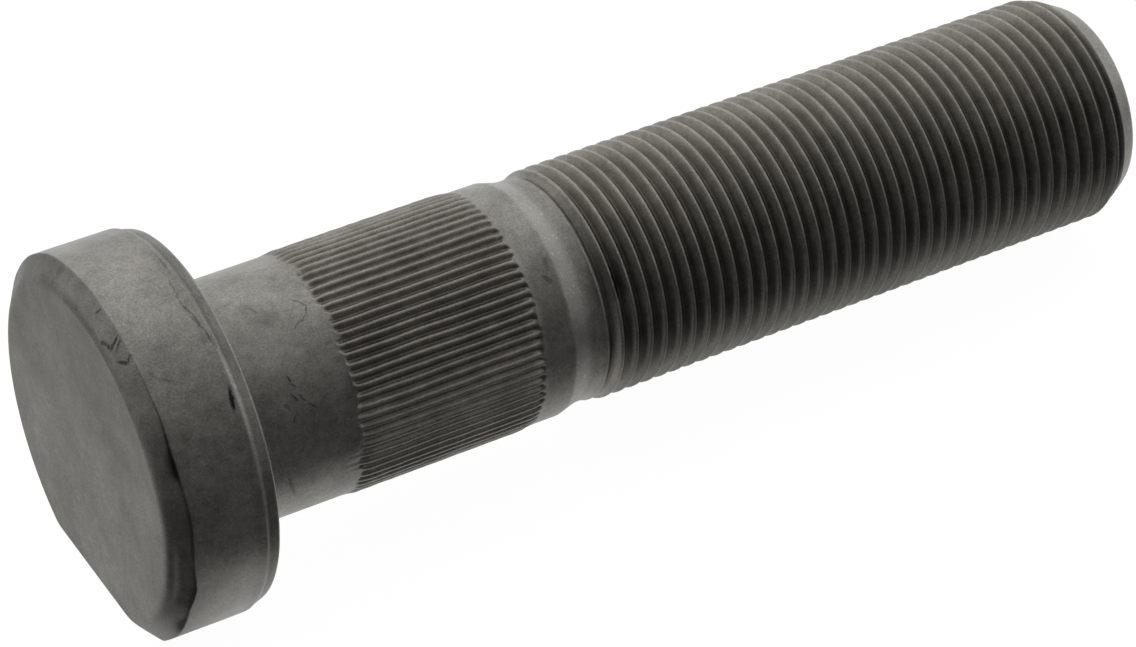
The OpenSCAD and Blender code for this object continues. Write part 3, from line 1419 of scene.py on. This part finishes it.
@dataclass
class WheelBolt:
    """The whole bolt as one closed piece, laid where its solid lies."""

    flat_reach: float = 13.7
    thread_r: float = 10.9
    head_h: float = 9.9
    thread_end: float = 101.1
    bolt_len: float = 104.1
    end_face_r: float = 9.35

    def place(self) -> Matrix:
        """Resting place of the bolt.

        Returns:
            Matrix from the bolt's own axes to the row frame, in millimetres.
        """
        tilt = math.atan((self.flat_reach - self.thread_r) / (self.thread_end - self.head_h))
        height = self.flat_reach * math.cos(tilt) + self.head_h * math.sin(tilt)
        low = -self.flat_reach * math.sin(tilt)
        high = self.bolt_len * math.cos(tilt) + self.end_face_r * math.sin(tilt)
        turn = Matrix.Rotation(math.pi / 2 + tilt, 4, "Y")
        return Matrix.Translation(Vector((-(low + high) / 2, 0.0, height))) @ turn

    def build(self, finish: PhosphatedSteel) -> bpy.types.Object:
        """Builds and dresses the bolt.

        Args:
            finish: finish of the whole bolt.

        Returns:
            The piece, which rides on the root body and stands for the CAD node.
        """
        skin = Skin()
        shank = Shank()
        last = Head().grow(skin, shank.columns())
        last = shank.grow(skin, last)
        Thread().grow(skin, last)
        mesh = skin.mesh("bolt_skin", self.place())
        mesh.materials.append(finish.material())
        piece = bpy.data.objects.new("bolt_skin", mesh)
        bpy.context.scene.collection.objects.link(piece)
        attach(piece, "root")
        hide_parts("wheel_bolt")
        LOG.info("%s: %d points, %d faces", piece.name, len(mesh.vertices), len(mesh.polygons))
        return piece


@dataclass
class Studio:
    """White sweep, room, one soft lamp and the camera, in millimetres and degrees."""

    camera_at: Triple = (-154.72, -254.273, 257.502)
    camera_turn: Triple = (49.7773, 0.2036, -30.829)
    lens: float = 135.38
    sensor: float = 36.0
    clip: Pair = (10.0, 20000.0)
    floor_half: float = 4000.0
    lamp_at: Triple = (120.0, 620.0, 420.0)
    lamp_size: float = 600.0
    lamp_watts: float = 0.8
    # Way to the lit side of the room, and the shares of it between which the room lights up
    back_side: Triple = (0.43, 0.9, 0.0)
    room_span: Pair = (-0.73, 0.62)
    room_levels: Pair = (0.03, 0.97)

    def build(self) -> None:
        """Sets up the floor, the world, the lamp and the camera."""
        self.floor(PaleSweep())
        self.world()
        self.lamp()
        self.camera()

    def floor(self, finish: PaleSweep) -> None:
        """Lays the sweep under the bolt.

        Args:
            finish: finish of the sweep.
        """
        half = self.floor_half * MM
        mesh = bpy.data.meshes.new("sweep")
        corners = [(-half, -half, 0.0), (half, -half, 0.0), (half, half, 0.0), (-half, half, 0.0)]
        mesh.from_pydata(corners, [], [(0, 1, 2, 3)])
        mesh.materials.append(finish.material())
        floor = bpy.data.objects.new("sweep", mesh)
        bpy.context.scene.collection.objects.link(floor)

    def world(self) -> None:
        """Paints the room: white as a background, and dim on the side of the camera."""
        world = bpy.data.worlds.new("studio_room")
        bpy.context.scene.world = world
        world.use_nodes = True
        n = Nodes(world.node_tree)
        way = n.add("TexCoord").outputs["Generated"]
        dot = n.vector("DOT_PRODUCT", way, Vector(self.back_side).normalized())
        level = n.span(dot.outputs["Value"], *self.room_span, *self.room_levels)
        path = n.add("LightPath")
        level = n.math("MAXIMUM", level, path.outputs["Is Camera Ray"])
        back = n.add("Background")
        n.put(level, back.inputs["Strength"])
        n.put(back.outputs[0], n.add("OutputWorld").inputs[0])

    def lamp(self) -> None:
        """Hangs a square soft lamp that points at the bolt."""
        light = bpy.data.lights.new("back_soft_lamp", "AREA")
        light.shape = "SQUARE"
        light.size = self.lamp_size * MM
        light.energy = self.lamp_watts
        lamp = bpy.data.objects.new("back_soft_lamp", light)
        place = Vector(self.lamp_at) * MM
        lamp.location = place
        lamp.rotation_euler = (-place).to_track_quat("-Z", "Y").to_euler()
        lamp.visible_glossy = False
        bpy.context.scene.collection.objects.link(lamp)

    def camera(self) -> None:
        """Places the camera at the viewing angle of the photograph."""
        data = bpy.data.cameras.new("camera")
        data.lens = self.lens
        data.sensor_width = self.sensor
        data.sensor_fit = "HORIZONTAL"
        data.clip_start, data.clip_end = (distance * MM for distance in self.clip)
        camera = bpy.data.objects.new("camera", data)
        camera.location = Vector(self.camera_at) * MM
        camera.rotation_euler = Euler([math.radians(a) for a in self.camera_turn], "XYZ")
        bpy.context.scene.collection.objects.link(camera)
        bpy.context.scene.camera = camera
        bpy.context.scene.view_settings.view_transform = "Standard"


def main() -> None:
    """Loads the frame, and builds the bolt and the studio."""
    logging.basicConfig(level=logging.INFO, format="%(name)s: %(message)s")
    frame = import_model()
    LOG.info("frame: nodes %s", ", ".join(sorted(frame["nodes"])))
    WheelBolt().build(PhosphatedSteel())
    Studio().build()


if __name__ == "__main__":
    main()
